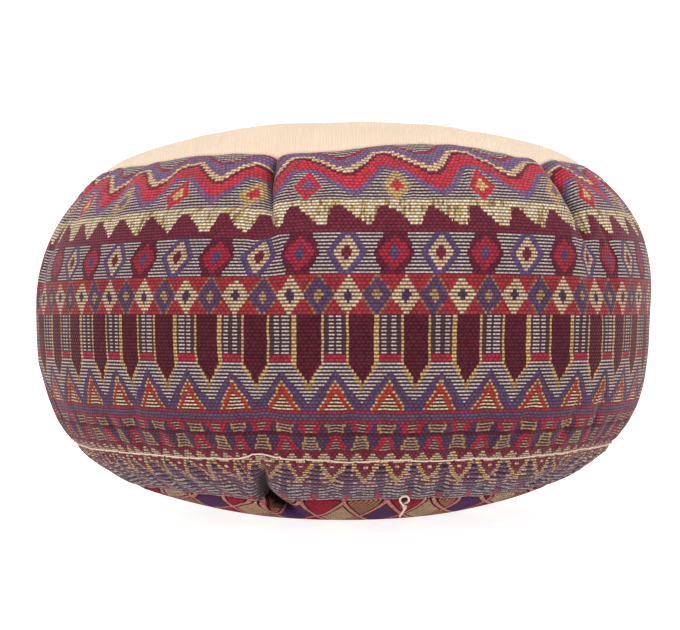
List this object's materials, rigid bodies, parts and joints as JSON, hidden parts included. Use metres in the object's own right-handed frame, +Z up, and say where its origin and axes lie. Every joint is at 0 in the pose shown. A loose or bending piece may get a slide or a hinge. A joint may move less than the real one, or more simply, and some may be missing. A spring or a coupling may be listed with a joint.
{
  "type": "round floor cushion",
  "caption": "Round stuffed floor cushion with a domed canvas top, patterned jacquard side band, folk-patterned base panel, zipped removable cover and fibre-filled calico liner.",
  "frame": {"origin": "centre of the flat resting patch on the underside, which is the centre of the bottom of the bounding box", "axes": "+Z up along the turning axis, -Y towards the front, +X to the right seen from the front"},
  "size_m": [0.4, 0.4, 0.2544],
  "materials": {
    "canvas": "matte",
    "jacquard": "matte",
    "base_jacquard": "matte",
    "natural_thread": "matte",
    "sewing_thread": "matte",
    "zip_tape": "matte",
    "nylon_coil": "satin",
    "zip_metal": "satin",
    "calico": "matte",
    "fibre": "matte",
    "label": "satin"
  },
  "bodies": {
    "cushion": {"top_panel": "canvas", "side_band": "jacquard", "bottom_panel": "base_jacquard", "top_seam_thread": "sewing_thread", "base_seam_thread": "sewing_thread", "band_join_thread": "sewing_thread", "hem_stitching": "natural_thread", "zip_tape_upper": "zip_tape", "zip_tape_lower": "zip_tape", "zip_coil_upper": "nylon_coil", "zip_coil_lower": "nylon_coil", "zip_stop_closed": "zip_metal", "zip_stop_open": "zip_metal", "liner_top": "calico", "liner_side": "calico", "liner_bottom": "calico", "liner_top_thread": "natural_thread", "liner_base_thread": "natural_thread", "fibre_filling": "fibre", "care_label": "label"},
    "slider": {"zip_slider": "zip_metal", "pull_thread": "natural_thread"}
  },
  "joints": [
    {"name": "zip_travel", "type": "hinge", "parent": "cushion", "child": "slider", "pos_m": [0, 0, 0], "axis": [0, 0, 1], "range_deg": [0, 118]}
  ]
}
